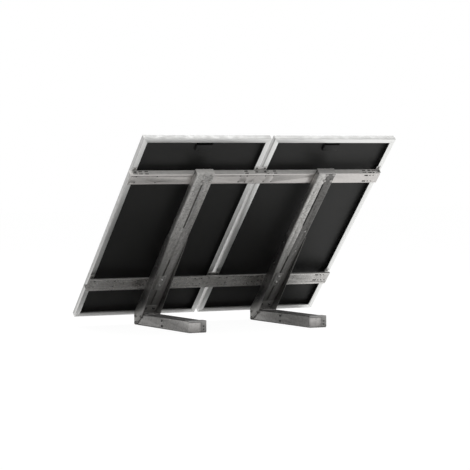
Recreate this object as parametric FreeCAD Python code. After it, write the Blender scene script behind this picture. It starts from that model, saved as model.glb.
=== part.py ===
import FreeCAD, Part
import math
import os

Vector = FreeCAD.Vector

# Ballasted ground mount that carries two framed solar modules on their long sides.
# Two feet stand on the roof. Each foot carries a post leaning at the slope of the modules.
# Two lipped rails cross the posts, and the modules lie on the rails. Both rails have one profile.
# The upper rail has its flange uppermost, and the lower rail is turned over.
#
# Frame: +Z up, X along the rails, +Y towards the back, where the high edge of the modules is.
# Origin: on the ground, in the middle of the mount's overall footprint.
# While it is built, the part has y = 0 at the front end of the feet and x = 0 under the gap
# between the modules. Every piece then moves to the origin together.
# "Left" is +X and "right" is -X, as somebody standing behind the mount sees them.
#
# The slope frame has x along X, y up the slope from the modules' low edge and
# z out of the modules' glass side, with z = 0 on the back of the module frames.

# ------------------------------------------------------------------ modules
tilt = 45.0                  # degrees, slope of the modules and of the posts
module_width = 992.0
module_length = 1849.0
module_gap = 29.0            # between the two modules
module_overhang = 64.4       # the modules reach this far below the posts' foot, along the slope

frame_depth = 40.0
frame_wall = 2.0
frame_flange = 36.0          # back flange of the frame extrusion
frame_flange_wall = 2.0
frame_lip = 10.0             # reach of the lips that hold the glass
frame_lip_wall = 1.6
key_chamber = 12.0           # height of the hollow that takes the corner keys
key_wall = 1.6
key_leg = 45.0
key_clearance = 0.2

glass_thick = 3.2
cell_sheet_thick = 1.2
backsheet_thick = 0.4
glass_clearance = 1.0        # between the laminate's edge and the frame's wall

jbox_width = 122.0
jbox_length = 84.0
jbox_depth = 16.0
jbox_lid_thick = 3.0
jbox_lid_inset = 4.0
jbox_corner = 8.0
jbox_from_frame = 16.0       # from the top member's flange

# -------------------------------------------------------------------- rails
rail_depth = 44.0
rail_height = 97.0
rail_wall = 2.5
rail_bend = 2.5              # inner radius of its folds
rail_shift = 22.0            # the rails sit this far towards +X
lower_rail_at = 357.0        # low edge of each rail above the modules' low edge
upper_rail_at = 1444.0
rail_lip = 12.0              # stiffening lip along the edge without a flange
rail_row_edge = 19.0         # web hole rows from the web's edges
rail_hole_r = 6.5
rail_slot_long = 30.0
rail_slot_wide = 13.0
left_holes_from_end = (21.0, 51.0, 211.0)
right_holes_from_end = (24.0, 52.0, 80.0)
right_slot_from_end = 112.0
middle_holes_at = (143.0, 89.0, 28.0, -59.0, -123.0)
flange_row_front = 11.0      # slot rows in the rails' flanges, from the modules
flange_row_back = 33.0
flange_slot_long = 28.0
flange_slot_wide = 9.0
flange_slots_from_end = (45.0, 84.0, 130.0)
flange_slots_at = (94.0, -75.0, -138.0)

drip_leg = 40.0              # angle under the lower rail
drip_lip = 23.0
drip_wall = 2.5

# -------------------------------------------------------------------- posts
post_centre_left = 479.0
post_centre_right = -500.0
post_width = 140.0
post_depth = 53.0
post_seam = 0.4              # between the toes of the two channels
post_slit = 10.0             # width of the slots along the seam
post_slots = ((0.0, 716.0), (1051.0, 1488.0))
post_wall = 4.0
post_bend = 3.0
post_top_at = 1597.0         # above the modules' low edge, along the slope
perforation_r = 4.0
perforation_pitch = 56.0
perforation_in = 24.0        # from the post's outer side
perforation_first = 1124.0
perforation_count = 6

plate_wall = 4.0
head_lid_wall = 4.0
head_tab_length = 40.0       # tabs of the head lid, inside the post
head_tab_width = 30.0
head_tab_wall = 3.0
tie_at = 726.0               # tie plate behind the seam, inside the post
tie_length = 315.0
tie_side_margin = 12.0       # in from the post's sides
tie_wall = 3.0
tie_bolt_edge = 50.0
tie_bolt_side = 38.0
lower_plate_at = 388.0
lower_plate_length = 143.0
lower_plate_width = 62.0
slit_bolt_rise = 63.0        # from the rail's upper hole row to the bolt above the rail
head_bolt_side = 50.0
bridge_washer = 44.0
bridge_washer_wall = 4.0

# --------------------------------------------------------------------- feet
foot_length = 962.0
foot_height = 85.0
foot_wall = 4.0
foot_bend = 3.0
foot_row = 24.0              # hole rows above and below the web's middle
foot_hole_r = 5.5
foot_middle_holes = 508.0
foot_back_holes = 63.0       # from the back end
strap_wall = 3.0
strap_length = 62.0
strap_lip = 9.0
foot_slit = 10.0             # between the toes of the two channels
end_plate_width = 93.0       # beside the strap's leg
end_plate_lap = 12.0         # behind the strap's leg
end_plate_wall = 3.0
end_plate_gap = 2.0          # dark line between the end plate and the strap's lip
end_plate_tab = 50.0

# ------------------------------------------------- gussets and base cleats
gusset_wall = 4.0
gusset_top_at = 926.0
gusset_foot_reach = 158.0    # along the foot's top
gusset_knee = 25.0           # below the foot's top
gusset_knee_in = 20.0        # forward of the reach
gusset_toe = 52.0
gusset_floor_gap = 8.0
gusset_front_gap = 4.0
gusset_foot_bolt_front = 25.0
gusset_foot_bolt_back = 106.0

cleat_wall = 4.0
cleat_bend = 4.0
cleat_side_margin = 12.0     # in from the post's sides
cleat_foot_leg = 112.0
cleat_post_leg = 96.0

# ------------------------------------------------------------ module clamps
clamp_width = 30.0           # middle clamps are wider by the pitch of their two bolts
clamp_wall = 3.0
clamp_leg = 34.0             # leg of the upper clamps, over the module frames
clamp_seat = 36.0            # other leg, on the rail's flange
clamp_bolt_at = 22.0         # from the modules, between the rows of slots
clamp_end_margin = 7.0       # bolt to the rail's end, where the rail stops short

# ---------------------------------------------------------------- fasteners
bolt_r = 5.0
bolt_head_flats = 17.0
bolt_head_height = 6.4
nut_height = 8.0
bolt_tail = 3.0
small_r = 4.0
small_flats = 13.0
small_head_height = 5.3
small_nut_height = 6.5
hole_clearance = 0.5         # radius of a bolt hole over its bolt
hex_sides = 6

# Repeated small holes, bolt shanks and folds have few sides, which keeps the model light.
hole_sides = 6
shank_sides = 6
fold_chords = 3
cut_past = 1.0               # a cutter runs this far past the metal

# ------------------------------------------------------------ derived sizes
cos_tilt = math.cos(math.radians(tilt))
sin_tilt = math.sin(math.radians(tilt))
pair_width = 2 * module_width + module_gap
rail_length = pair_width
rail_left_end = rail_shift + rail_length / 2
rail_right_end = rail_shift - rail_length / 2
post_front = -rail_depth
post_back = -rail_depth - post_depth
glass_top = frame_depth - frame_lip_wall
laminate_thick = glass_thick + cell_sheet_thick + backsheet_thick
laminate_back = glass_top - laminate_thick
seat_back = laminate_back - frame_lip_wall
chamber_back = seat_back - key_chamber
lower_rail_top = lower_rail_at + rail_height
upper_rail_top = upper_rail_at + rail_height
post_sides = {"left": post_centre_left, "right": post_centre_right}
module_centres = {
    "left": (module_width + module_gap) / 2,
    "right": -(module_width + module_gap) / 2,
}

# The slope frame sits where the posts' front face meets the front end of the feet's top.
slope = FreeCAD.Placement(
    Vector(
        0,
        -module_overhang * cos_tilt - rail_depth * sin_tilt,
        foot_height - module_overhang * sin_tilt + rail_depth * cos_tilt,
    ),
    FreeCAD.Rotation(Vector(1, 0, 0), tilt),
)


# ------------------------------------------------------------------ helpers
def on_slope(shape):
    """Move a shape from the slope frame to the part's frame."""
    moved = shape.copy()
    moved.Placement = slope.multiply(moved.Placement)
    return moved


def slope_point(along, out):
    """Part-frame Y and Z of a point of the slope frame."""
    point = slope.multVec(Vector(0, along, out))
    return point.y, point.z


def block(x0, x1, y0, y1, z0, z1):
    return Part.makeBox(x1 - x0, y1 - y0, z1 - z0, Vector(x0, y0, z0))


def prism(points, direction):
    """Extrude a closed outline of points along a vector."""
    wire = Part.makePolygon(points + points[:1])
    return Part.Face(wire).extrude(direction)


def rounded_chain(points, radii):
    """Points along a path whose inner corners are rounded, in a few chords, to the given radii."""
    chain = [points[0]]
    for i in range(1, len(points) - 1):
        before = (points[i - 1] - points[i]).normalize()
        after = (points[i + 1] - points[i]).normalize()
        radius = radii[i - 1]
        half = before.getAngle(after) / 2
        centre = points[i] + (before + after).normalize() * (radius / math.sin(half))
        first = points[i] + before * (radius / math.tan(half)) - centre
        sweep = (math.pi - 2 * half) * (1 if before.cross(after).z < 0 else -1)
        steps = fold_chords if radius > 0 else 0
        for k in range(steps + 1):
            angle = sweep * k / max(steps, 1)
            turned = Vector(
                first.x * math.cos(angle) - first.y * math.sin(angle),
                first.x * math.sin(angle) + first.y * math.cos(angle),
                0,
            )
            chain.append(centre + turned)
    chain.append(points[-1])
    return chain


def folded_sheet(path, wall, bend, side=1):
    """Face of a folded sheet. The path runs along one skin in the XY plane.
    side is 1 where the metal lies to the left of the path and -1 to its right."""
    points = [Vector(x, y, 0) for x, y in path]
    ways = [(points[i + 1] - points[i]).normalize() for i in range(len(points) - 1)]
    sides = [Vector(-way.y, way.x, 0) * side for way in ways]
    other = [points[0] + sides[0] * wall]
    path_radii = []
    other_radii = []
    for i in range(1, len(points) - 1):
        mitre = (sides[i - 1] + sides[i]).normalize()
        reach = wall / mitre.dot(sides[i])
        other.append(points[i] + mitre * reach)
        turn = ways[i - 1].cross(ways[i]).z * side
        path_radii.append(bend + wall if turn > 0 else bend)
        other_radii.append(bend if turn > 0 else bend + wall)
    other.append(points[-1] + sides[-1] * wall)
    outline = rounded_chain(points, path_radii) + rounded_chain(other[::-1], other_radii[::-1])
    return Part.Face(Part.makePolygon(outline + outline[:1]))


def along_x(face, x0, x1):
    """A profile drawn as (y, z), extruded along X from x0 to x1.
    A third of a turn about the axes' diagonal takes X to Y, Y to Z and Z to X."""
    turned = face.copy()
    turned.Placement = FreeCAD.Placement(
        Vector(x0, 0, 0), FreeCAD.Rotation(Vector(1, 1, 1), 120)
    )
    return turned.extrude(Vector(x1 - x0, 0, 0))


def along_y(face, y0, y1):
    """A profile drawn as (x, z), extruded along Y from y0 to y1."""
    turned = face.copy()
    turned.Placement = FreeCAD.Placement(
        Vector(0, y0, 0), FreeCAD.Rotation(Vector(1, 0, 0), 90)
    )
    return turned.extrude(Vector(0, y1 - y0, 0))


def few_sided(at, way, radius, length, sides):
    """A prism with few sides that stands in for a small cylinder starting at a point."""
    way = Vector(way).normalize()
    side = Vector(1, 0, 0) if abs(way.x) < 0.5 else Vector(0, 1, 0)
    corners = []
    for k in range(sides):
        turn = FreeCAD.Rotation(way, 360 * k / sides)
        corners.append(at + turn.multVec(side) * radius)
    return prism(corners, way * length)


def hole(at, way, radius, length):
    """A cutter for a small round hole, centred on a point."""
    way = Vector(way).normalize()
    return few_sided(at - way * (length / 2), way, radius, length, hole_sides)


def slot(at, way, wide, long, length):
    """A cutter for a slot that is long in X, centred on a point."""
    way = Vector(way).normalize()
    along = Vector(long / 2, 0, 0)
    across = way.cross(Vector(1, 0, 0)).normalize() * (wide / 2)
    start = at - way * (length / 2)
    corners = [start - along - across, start + along - across, start + along + across, start - along + across]
    return prism(corners, way * length)


def bolt(seat, way, grip, large, nut_fused):
    """A hexagon bolt. Its head seats on a point and its shank runs along a direction.
    A nut that nobody sees is one solid with its bolt, which ends in it."""
    way = Vector(way).normalize()
    radius = bolt_r if large else small_r
    head_radius = (bolt_head_flats if large else small_flats) / math.sqrt(3)
    head_height = bolt_head_height if large else small_head_height
    nut_reach = nut_height if large else small_nut_height
    head = few_sided(seat, way * -1, head_radius, head_height, hex_sides)
    if nut_fused:
        shank = few_sided(seat, way, radius, grip, shank_sides)
        nut_end = few_sided(seat + way * grip, way, head_radius, nut_reach, hex_sides)
        return head.multiFuse([shank, nut_end]).removeSplitter()
    shank = few_sided(seat, way, radius, grip + nut_reach + bolt_tail, shank_sides)
    return head.fuse(shank).removeSplitter()


def nut(seat, way, grip):
    """The nut of a large bolt with the same seat, direction and grip."""
    way = Vector(way).normalize()
    start = seat + way * grip
    body = few_sided(start, way, bolt_head_flats / math.sqrt(3), nut_height, hex_sides)
    return body.cut(few_sided(start, way, bolt_r, nut_height, shank_sides))


pieces = {}


def export(name, shape):
    pieces[name] = shape


# ---------------------------------------------------------------- fasteners
# Every bolt is one entry: node, seat, direction, grip and size. Slope entries are
# given in the slope frame. Holes, bolts and nuts are all made from these entries.
slope_bolts = []
world_bolts = []


def cut_bolt_holes(shape, entries):
    """Open every bolt hole that a list of entries needs in one shape."""
    cutters = []
    for group, seat, way, grip, large in entries:
        radius = (bolt_r if large else small_r) + hole_clearance
        start = seat - Vector(way).normalize() * cut_past
        cutters.append(few_sided(start, way, radius, grip + 2 * cut_past, shank_sides))
    near = [c for c in cutters if c.BoundBox.intersect(shape.BoundBox)]
    return shape.cut(near) if near else shape


for side, centre in post_sides.items():
    toward_front = Vector(0, 0, 1)
    # At the head the bolts seat on the post. In the slot below they seat on the lower plate,
    # and the one above the rail has a washer that bridges the slot.
    head_row = upper_rail_top - rail_row_edge
    for column in (centre, centre - head_bolt_side):
        for row, grip in ((head_row, post_depth + rail_wall), (head_row + slit_bolt_rise, post_depth)):
            slope_bolts.append(("head_bolts", Vector(column, row, post_back), toward_front, grip, True))
    lower_row = lower_rail_top - rail_row_edge
    lower_grip = plate_wall + post_depth
    for row, more in ((lower_row, rail_wall), (lower_row + slit_bolt_rise, bridge_washer_wall)):
        slope_bolts.append(
            ("lower_bolts", Vector(centre, row, post_back - plate_wall), toward_front,
             lower_grip + more, True)
        )
    for along in (tie_at + tie_bolt_edge, tie_at + tie_length - tie_bolt_edge):
        for across in (-tie_bolt_side, tie_bolt_side):
            slope_bolts.append(
                ("tie_bolts", Vector(centre + across, along, post_back), toward_front,
                 post_wall + tie_wall, False)
            )
    for way in (-1, 1):
        web_face = centre - way * post_width / 2
        seat_x = web_face - way * gusset_wall
        inward = Vector(way, 0, 0)
        low = foot_height / 2 - foot_row
        high = foot_height / 2 + foot_row
        for along, up in (
            (gusset_foot_bolt_front, low),
            (gusset_foot_bolt_front, high),
            (gusset_foot_bolt_front + gusset_foot_bolt_back, high),
        ):
            world_bolts.append(
                ("gusset_bolts", Vector(seat_x, along, up), inward,
                 gusset_wall + foot_wall, True)
            )

# Module clamps hold the side members on the rails' flanges. The upper ones stand above their
# rail, and the lower ones stand inside theirs and reach its upper edge. In the middle, one wide
# clamp holds two members. Each row below gives a clamp's fold, its far end and its bolts' grip.
member_inset = frame_flange / 2
middle_reach = module_gap / 2 + member_inset
right_clamp_at = max(-pair_width / 2 + member_inset, rail_right_end + clamp_end_margin)
clamp_places = (
    (pair_width / 2 - member_inset,),
    (-middle_reach, middle_reach),
    (right_clamp_at,),
)
clamp_rows = (
    (upper_rail_top, upper_rail_top + clamp_leg, clamp_wall + rail_wall),
    (lower_rail_at + rail_wall, lower_rail_top, clamp_wall + rail_wall + drip_wall),
)
for places in clamp_places:
    for fold, far_end, grip in clamp_rows:
        for place in places:
            slope_bolts.append(
                ("clamp_bolts", Vector(place, fold + clamp_wall, -clamp_bolt_at),
                 Vector(0, -1, 0), grip, False)
            )

separate_nuts = {"head_bolts": "head_nuts", "lower_bolts": "lower_nuts"}
groups = {}
for entries, frame in ((slope_bolts, slope), (world_bolts, FreeCAD.Placement())):
    for group, seat, way, grip, large in entries:
        solids = [(group, bolt(seat, way, grip, large, group not in separate_nuts))]
        if group in separate_nuts:
            solids.append((separate_nuts[group], nut(seat, way, grip)))
        for name, solid in solids:
            solid.Placement = frame
            groups.setdefault(name, []).append(solid)

for group, solids in sorted(groups.items()):
    export(group, Part.makeCompound(solids))


# ------------------------------------------------------------------ modules
def frame_profile():
    """Section of the frame extrusion, drawn as (distance in from its outer edge, height)."""
    outer = [
        (0, 0), (frame_flange, 0), (frame_flange, frame_flange_wall),
        (frame_wall, frame_flange_wall), (frame_wall, chamber_back - key_wall),
        (frame_lip, chamber_back - key_wall), (frame_lip, laminate_back),
        (frame_wall, laminate_back), (frame_wall, glass_top), (frame_lip, glass_top),
        (frame_lip, frame_depth), (0, frame_depth),
    ]
    inner = [
        (frame_wall, chamber_back), (frame_lip - key_wall, chamber_back),
        (frame_lip - key_wall, seat_back), (frame_wall, seat_back),
    ]
    loops = []
    for loop in (outer, inner):
        points = [Vector(x, y, 0) for x, y in loop]
        loops.append(Part.makePolygon(points + points[:1]))
    return Part.Face(loops[0]).cut(Part.Face(loops[1])).Faces[0]


def frame_member(length):
    """One mitred member along +X, with its outer edge on y = 0."""
    bar = along_x(frame_profile(), 0, length)
    reach = frame_flange + cut_past
    mask = prism(
        [Vector(0, 0, 0), Vector(length, 0, 0), Vector(length - reach, reach, 0), Vector(reach, reach, 0)],
        Vector(0, 0, frame_depth),
    )
    return bar.common(mask)


def placed(shape, x, y, turn):
    moved = shape.copy()
    moved.Placement = FreeCAD.Placement(Vector(x, y, 0), FreeCAD.Rotation(Vector(0, 0, 1), turn))
    return moved


def corner_key(x, y, turn):
    """An L that fills the key chambers of two members across their mitre."""
    low = frame_wall + key_clearance
    high = frame_lip - key_wall - key_clearance
    floor = chamber_back + key_clearance
    roof = seat_back - key_clearance
    leg_x = block(low, key_leg, low, high, floor, roof)
    leg_y = block(low, high, low, key_leg, floor, roof)
    return placed(leg_x.fuse(leg_y).removeSplitter(), x, y, turn)


def rounded_box(width, length, height, corner):
    """A box with rounded upright edges, centred on x = 0, from y = 0 and z = 0."""
    half = width / 2
    path = [(0, 0), (half, 0), (half, length), (-half, length), (-half, 0), (0, 0)]
    outline = rounded_chain([Vector(x, y, 0) for x, y in path], [corner] * 4)
    return prism(outline[:-1], Vector(0, 0, height))


keys = []
for side, centre in module_centres.items():
    west = centre - module_width / 2
    east = centre + module_width / 2
    short = frame_member(module_width)
    tall = frame_member(module_length)
    members = {
        "frame_bottom": placed(short, west, 0, 0),
        "frame_top": placed(short, east, module_length, 180),
        "frame_plus_x": placed(tall, east, 0, 90),
        "frame_minus_x": placed(tall, west, module_length, -90),
    }
    for name, member in members.items():
        export(side + "_module_" + name, on_slope(member))
    corners = ((west, 0, 0), (east, 0, 90), (east, module_length, 180), (west, module_length, -90))
    keys += [on_slope(corner_key(x, y, turn)) for x, y, turn in corners]
    margin = frame_wall + glass_clearance
    levels = [
        ("backsheet", laminate_back, backsheet_thick),
        ("cell_sheet", laminate_back + backsheet_thick, cell_sheet_thick),
        ("glass", glass_top - glass_thick, glass_thick),
    ]
    for name, level, thick in levels:
        sheet = block(west + margin, east - margin, margin, module_length - margin, level, level + thick)
        export(side + "_module_" + name, on_slope(sheet))
    jbox_top = module_length - frame_flange - jbox_from_frame
    base = rounded_box(jbox_width, jbox_length, jbox_depth, jbox_corner)
    base.translate(Vector(centre, jbox_top - jbox_length, laminate_back - jbox_depth))
    export(side + "_junction_box", on_slope(base))
    lid = rounded_box(
        jbox_width - 2 * jbox_lid_inset, jbox_length - 2 * jbox_lid_inset, jbox_lid_thick,
        jbox_corner - jbox_lid_inset,
    )
    lid.translate(
        Vector(centre, jbox_top - jbox_length + jbox_lid_inset, laminate_back - jbox_depth - jbox_lid_thick)
    )
    export(side + "_junction_box_lid", on_slope(lid))
export("corner_keys", Part.makeCompound(keys))


# -------------------------------------------------------------------- rails
def rail(lip_edge, flange_edge):
    """A lipped rail with its web to the back and one flange that reaches the module frames."""
    low_edge = min(lip_edge, flange_edge)
    top_edge = max(lip_edge, flange_edge)
    section = folded_sheet(
        [
            (lip_edge, -rail_depth + rail_lip), (lip_edge, -rail_depth),
            (flange_edge, -rail_depth), (flange_edge, 0),
        ],
        rail_wall, rail_bend, side=1 if flange_edge > lip_edge else -1,
    )
    body = along_x(section, rail_right_end, rail_left_end)
    into_web = Vector(0, 0, 1)
    into_flange = Vector(0, 1, 0)
    reach = 2 * (rail_wall + cut_past)
    cutters = []
    for row in (low_edge + rail_row_edge, top_edge - rail_row_edge):
        places = [rail_left_end - d for d in left_holes_from_end]
        places += [rail_right_end + d for d in right_holes_from_end]
        places += [rail_shift + d for d in middle_holes_at]
        for x in places:
            cutters.append(hole(Vector(x, row, -rail_depth), into_web, rail_hole_r, reach))
        x = rail_right_end + right_slot_from_end
        cutters.append(
            slot(Vector(x, row, -rail_depth), into_web, rail_slot_wide, rail_slot_long, reach)
        )
    for depth in (flange_row_front, flange_row_back):
        places = [rail_left_end - d for d in flange_slots_from_end]
        places += [rail_right_end + d for d in flange_slots_from_end]
        places += [rail_shift + d for d in flange_slots_at]
        for x in places:
            cutters.append(
                slot(Vector(x, flange_edge, -depth), into_flange, flange_slot_wide,
                     flange_slot_long, reach)
            )
    return cut_bolt_holes(body.cut(cutters), slope_bolts)


export("upper_rail", on_slope(rail(upper_rail_at, upper_rail_top)))
export("lower_rail", on_slope(rail(lower_rail_top, lower_rail_at)))

drip_section = folded_sheet(
    [
        (lower_rail_at, -rail_depth + drip_leg),
        (lower_rail_at, -rail_depth),
        (lower_rail_at - drip_lip, -rail_depth),
    ],
    drip_wall, rail_bend, side=-1,
)
drip = along_x(drip_section, rail_right_end, rail_left_end)
export("lower_rail_angle", on_slope(cut_bolt_holes(drip, slope_bolts)))

clamps = []
for places in clamp_places:
    for fold, far_end, grip in clamp_rows:
        section = folded_sheet(
            [(far_end, 0), (fold, 0), (fold, -clamp_seat)], clamp_wall, 0, side=1,
        )
        clamp = along_x(section, min(places) - clamp_width / 2, max(places) + clamp_width / 2)
        clamps.append(on_slope(cut_bolt_holes(clamp, slope_bolts)))
export("module_clamps", Part.makeCompound(clamps))


# -------------------------------------------------------------------- posts
def toe_channel(centre, width, depth, gap, wall, bend, way, back):
    """Section of one of two channels that stand toe to toe, drawn as (x, z).
    Its web is on the side given by way and its back skin is at the given height."""
    web = centre + way * width / 2
    toe = centre + way * gap / 2
    path = [(toe, back), (web, back), (web, back + depth), (toe, back + depth)]
    return folded_sheet(path, wall, bend, side=way)


washers = []
below_foot_top = block(-pair_width, pair_width, -foot_length, 2 * foot_length, -foot_length, foot_height)
for side, centre in post_sides.items():
    for way, name in ((1, "plus_x"), (-1, "minus_x")):
        section = toe_channel(
            centre, post_width, post_depth, post_seam, post_wall, post_bend, way, post_back
        )
        channel = along_y(section, 0, post_top_at - head_lid_wall)
        cutters = [
            block(
                centre - post_slit / 2, centre + post_slit / 2, start, end,
                post_back - cut_past, post_front + cut_past,
            )
            for start, end in post_slots
        ]
        if way == 1:
            for k in range(perforation_count):
                at = Vector(
                    centre + post_width / 2 - perforation_in,
                    perforation_first + k * perforation_pitch,
                    post_back,
                )
                cutters.append(hole(at, Vector(0, 0, 1), perforation_r, 2 * (post_wall + cut_past)))
        channel = on_slope(cut_bolt_holes(channel.cut(cutters), slope_bolts)).cut(below_foot_top)
        export(side + "_post_channel_" + name, channel)

    # The lid closes the head. Its tabs lie inside the webs of the two channels.
    lid_back = post_top_at - head_lid_wall
    head = block(
        centre - post_width / 2, centre + post_width / 2, lid_back, post_top_at, post_back, post_front
    )
    tab_middle = (post_back + post_front) / 2
    for way in (-1, 1):
        inside = centre + way * (post_width / 2 - post_wall)
        far_side = inside - way * head_tab_wall
        head = head.fuse(
            block(
                min(inside, far_side), max(inside, far_side), lid_back - head_tab_length, lid_back,
                tab_middle - head_tab_width / 2, tab_middle + head_tab_width / 2,
            )
        )
    export(side + "_post_head_cap", on_slope(head.removeSplitter()))

    tie_reach = post_width / 2 - tie_side_margin
    tie = block(
        centre - tie_reach, centre + tie_reach, tie_at, tie_at + tie_length,
        post_back + post_wall, post_back + post_wall + tie_wall,
    )
    export(side + "_post_tie_plate", on_slope(cut_bolt_holes(tie, slope_bolts)))

    lower = block(
        centre - lower_plate_width / 2, centre + lower_plate_width / 2,
        lower_plate_at, lower_plate_at + lower_plate_length, post_back - plate_wall, post_back,
    )
    export(side + "_post_lower_plate", on_slope(cut_bolt_holes(lower, slope_bolts)))

    at = lower_rail_top - rail_row_edge + slit_bolt_rise
    washer = block(
        centre - bridge_washer / 2, centre + bridge_washer / 2,
        at - bridge_washer / 2, at + bridge_washer / 2,
        post_front, post_front + bridge_washer_wall,
    )
    washers.append(on_slope(cut_bolt_holes(washer, slope_bolts)))
export("bridge_washers", Part.makeCompound(washers))

# --------------------------------------------------------------------- feet
web_middle = foot_height / 2
channel_end = foot_length - strap_wall
reach = 2 * (foot_wall + cut_past)
for side, centre in post_sides.items():
    for way, name in ((1, "plus_x"), (-1, "minus_x")):
        section = toe_channel(
            centre, post_width, foot_height, foot_slit, foot_wall, foot_bend, way, 0
        )
        channel = along_y(section, 0, channel_end)
        along = foot_middle_holes if way == 1 else foot_length - foot_back_holes
        web = centre + way * post_width / 2
        cutters = []
        for up in (web_middle - foot_row, web_middle + foot_row):
            if way == 1:
                start = Vector(web - reach / 2, along, up)
                cutters.append(Part.makeCylinder(foot_hole_r, reach, start, Vector(1, 0, 0)))
            else:
                cutters.append(hole(Vector(web, along, up), Vector(1, 0, 0), foot_hole_r, reach))
        channel = cut_bolt_holes(channel.cut(cutters), world_bolts)
        export(side + "_foot_channel_" + name, channel)

    strap_section = folded_sheet(
        [
            (channel_end - strap_length, foot_height),
            (channel_end, foot_height),
            (channel_end, foot_height - strap_lip),
        ],
        strap_wall, 0, side=1,
    )
    strap = along_x(strap_section, centre - post_width / 2, centre + post_width / 2)

    # The end plate is held by a tab inside the +X web, and the strap's leg covers the rest
    # of the mouth.
    web_inside = centre + post_width / 2 - foot_wall
    end_foot = foot_wall + foot_bend
    leg = block(
        centre - post_width / 2, web_inside - end_plate_width,
        channel_end, foot_length, end_foot, foot_height,
    )
    export(side + "_foot_strap", strap.fuse(leg).removeSplitter())
    end_section = folded_sheet(
        [
            (web_inside, channel_end - end_plate_tab),
            (web_inside, channel_end),
            (web_inside - end_plate_width - end_plate_lap, channel_end),
        ],
        end_plate_wall, 0, side=1,
    )
    end_height = foot_height - strap_lip - end_plate_gap - end_foot
    end_plate = end_section.extrude(Vector(0, 0, end_height))
    end_plate.translate(Vector(0, 0, end_foot))
    export(side + "_foot_end_plate", end_plate)

# ------------------------------------------------- gussets and base cleats
gusset_outline = [
    slope_point(gusset_top_at, post_front),
    slope_point(gusset_top_at, post_back),
    (gusset_foot_reach, foot_height),
    (gusset_foot_reach - gusset_knee_in, foot_height - gusset_knee),
    (gusset_toe, gusset_floor_gap),
    (gusset_front_gap, gusset_floor_gap),
    (gusset_front_gap, foot_height + gusset_front_gap * math.tan(math.radians(tilt))),
]
for side, centre in post_sides.items():
    for way, name in ((1, "plus_x"), (-1, "minus_x")):
        inner_skin = centre + way * post_width / 2
        points = [Vector(inner_skin, y, z) for y, z in gusset_outline]
        plate = prism(points, Vector(way * gusset_wall, 0, 0))
        export(side + "_gusset_" + name, cut_bolt_holes(plate, world_bolts))

    # The cleat folds where the post's back meets the foot's top.
    back_y, back_z = slope_point(0, post_back)
    fold_y = back_y + (foot_height - back_z) * cos_tilt / sin_tilt
    cleat_section = folded_sheet(
        [
            (fold_y + cleat_foot_leg, foot_height),
            (fold_y, foot_height),
            (fold_y + cleat_post_leg * cos_tilt, foot_height + cleat_post_leg * sin_tilt),
        ],
        cleat_wall, cleat_bend, side=-1,
    )
    cleat_reach = post_width / 2 - cleat_side_margin
    cleat = along_x(cleat_section, centre - cleat_reach, centre + cleat_reach)
    export(side + "_base_cleat", cleat)

# ------------------------------------------------------------------- export
footprint = FreeCAD.BoundBox()
for shape in pieces.values():
    footprint.add(shape.BoundBox)
to_origin = Vector(-footprint.Center.x, -footprint.Center.y, 0)
os.makedirs("parts", exist_ok=True)
for name, shape in sorted(pieces.items()):
    moved = shape.copy()
    moved.translate(to_origin)
    moved.exportStep("parts/" + name + ".step")
print(len(pieces), "pieces, moved to the origin by", to_origin)
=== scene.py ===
# %% [markdown]
# Solar ballast mount. This notebook dresses a CAD model of two tilted solar modules on a
# galvanised steel rack. The CAD model holds every piece at its real size, and the cells below
# give the pieces their finish, their edges, their solar cells and their small fasteners.
# Lengths are in metres.

# %% Load the frame
import math
import bmesh
import bpy
from mathutils import Matrix, Vector


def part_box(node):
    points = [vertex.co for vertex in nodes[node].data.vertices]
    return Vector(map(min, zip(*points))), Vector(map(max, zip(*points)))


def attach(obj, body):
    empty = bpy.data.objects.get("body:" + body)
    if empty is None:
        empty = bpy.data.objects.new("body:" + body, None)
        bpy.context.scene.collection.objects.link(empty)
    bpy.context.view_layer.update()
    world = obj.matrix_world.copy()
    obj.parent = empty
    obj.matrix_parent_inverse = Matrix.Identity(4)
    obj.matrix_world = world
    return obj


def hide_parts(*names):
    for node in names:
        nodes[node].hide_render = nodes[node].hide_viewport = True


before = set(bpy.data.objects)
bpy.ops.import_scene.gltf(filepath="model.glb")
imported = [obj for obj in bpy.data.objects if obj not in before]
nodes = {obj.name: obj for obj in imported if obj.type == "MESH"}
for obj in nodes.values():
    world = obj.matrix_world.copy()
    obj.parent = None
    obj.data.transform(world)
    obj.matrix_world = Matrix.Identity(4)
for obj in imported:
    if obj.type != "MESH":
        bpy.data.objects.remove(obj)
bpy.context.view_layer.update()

scene = bpy.context.scene

# %% [markdown]
# The modules and the posts lean at 45 degrees, so most pieces are easier to place in a sloping
# frame: along X, up the slope, and out of the modules' back. Its origin is the low back edge of
# the module frames. That edge is the lowest line of the bottom member, so its box gives the place.

# %% The sloping frame
TILT = math.radians(45)
FRAME_DEPTH = 0.040
SIDEWAYS = Vector((1, 0, 0))
UP_SLOPE = Vector((0, math.cos(TILT), math.sin(TILT)))
BACKWARDS = Vector((0, math.sin(TILT), -math.cos(TILT)))
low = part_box("left_module_frame_bottom")[0]
slope_origin = Vector((0, low[1] + FRAME_DEPTH * math.sin(TILT), low[2]))


def on_slope(x, along, back):
    """A point at x, a distance up the slope and a distance behind the module frames."""
    return slope_origin + SIDEWAYS * x + UP_SLOPE * along + BACKWARDS * back


def slope_range(points):
    """Lowest and highest x, distance up the slope and distance behind the frames."""
    spots = [point - slope_origin for point in points]
    rows = [[spot.dot(way) for spot in spots] for way in (SIDEWAYS, UP_SLOPE, BACKWARDS)]
    return [(min(row), max(row)) for row in rows]


print("origin of the sloping frame:", slope_origin)

# %% [markdown]
# Gussets, cleats and one head cap are placed from the posts, so the posts are measured first. A
# post is two channels set face to face, and the points of both give its range. The places could
# be typed in by hand instead, but places that are read follow the model when it changes.

# %% The posts
def node_points(name):
    return [vertex.co.copy() for vertex in nodes[name].data.vertices]


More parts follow.
